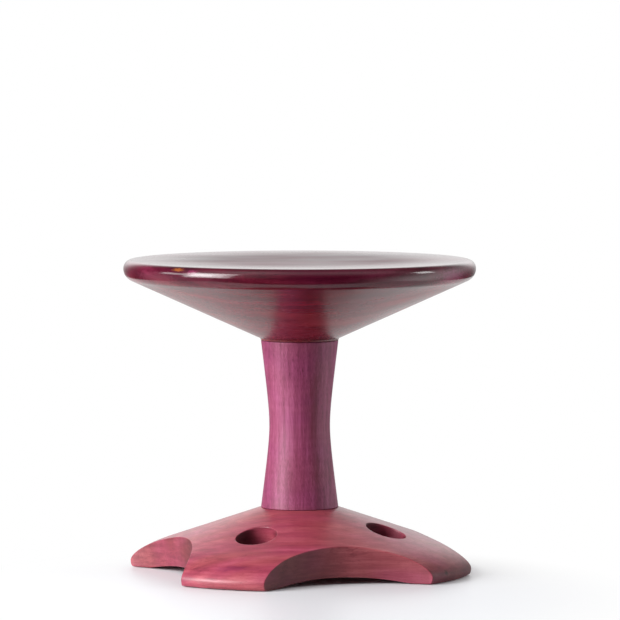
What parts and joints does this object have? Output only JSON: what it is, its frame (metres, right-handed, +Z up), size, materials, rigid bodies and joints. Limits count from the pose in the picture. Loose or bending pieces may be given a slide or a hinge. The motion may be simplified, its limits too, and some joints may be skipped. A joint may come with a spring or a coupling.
{
  "type": "pedestal stool",
  "caption": "Low round wooden stool: a thick conical seat on a waisted turned pillar and a domed base with scalloped sides and hand holes, drawn together by a tie rod.",
  "frame": {"origin": "centre of the floor under the stool, at the underside of the felt glides", "axes": "+Z up along the pillar, -Y towards the front seen in the picture, +X to the right of it"},
  "size_m": [0.4, 0.4, 0.3553],
  "materials": {
    "seat_wood": "dark purple-red hardwood under gloss lacquer",
    "pillar_wood": "purple-pink hardwood, satin oil, grain upright",
    "base_wood": "pink-red hardwood, satin oil",
    "dowel_wood": "plain beech, unfinished",
    "steel": "zinc-plated steel",
    "brass": "plain brass",
    "felt": "dense brown felt"
  },
  "bodies": {
    "root": {"seat": "seat_wood", "pillar": "pillar_wood", "base": "base_wood", "tie_rod": "steel", "seat_insert": "brass", "rod_washer": "steel", "rod_nut": "steel", "seat_dowel_left": "dowel_wood", "seat_dowel_right": "dowel_wood", "base_dowel_front": "dowel_wood", "base_dowel_back": "dowel_wood", "glide_front_left": "felt", "glide_front_right": "felt", "glide_back_right": "felt", "glide_back_left": "felt"}
  },
  "joints": []
}
